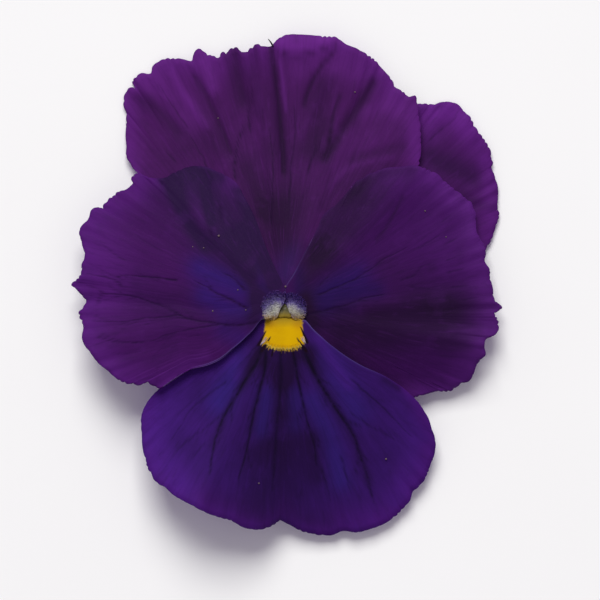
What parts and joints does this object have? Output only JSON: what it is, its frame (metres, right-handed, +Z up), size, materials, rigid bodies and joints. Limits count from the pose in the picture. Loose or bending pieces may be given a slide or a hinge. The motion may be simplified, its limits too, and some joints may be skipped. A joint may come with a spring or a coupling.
{
  "type": "viola flower",
  "caption": "Viola bloom lying face up: overlapping ruffled violet petals, yellow eye and green stigma, with sepals, nectar spur and a short picked stalk behind.",
  "frame": {"origin": "middle of the underside of the whole flower's box, on the surface it lies on", "axes": "+Z up, out of the face of the flower; +Y from the throat to the upper petals; +X to the right seen from above"},
  "size_m": [0.06, 0.0704, 0.0104],
  "materials": {
    "petal_upper": "matte",
    "petal_lateral": "matte",
    "petal_lower": "matte",
    "sepal": "matte",
    "stalk": "satin",
    "pistil": "satin",
    "stamen": "matte"
  },
  "bodies": {
    "root": {"petal_upper_front": "petal_upper", "petal_upper_rear": "petal_upper", "petal_lateral_left": "petal_lateral", "petal_lateral_right": "petal_lateral", "petal_lower": "petal_lower", "sepal_1": "sepal", "sepal_2": "sepal", "sepal_3": "sepal", "sepal_4": "sepal", "sepal_5": "sepal", "stalk": "stalk", "pistil": "pistil", "stamen_1": "stamen", "stamen_2": "stamen", "stamen_3": "stamen", "stamen_4": "stamen", "stamen_5": "stamen"}
  },
  "joints": []
}
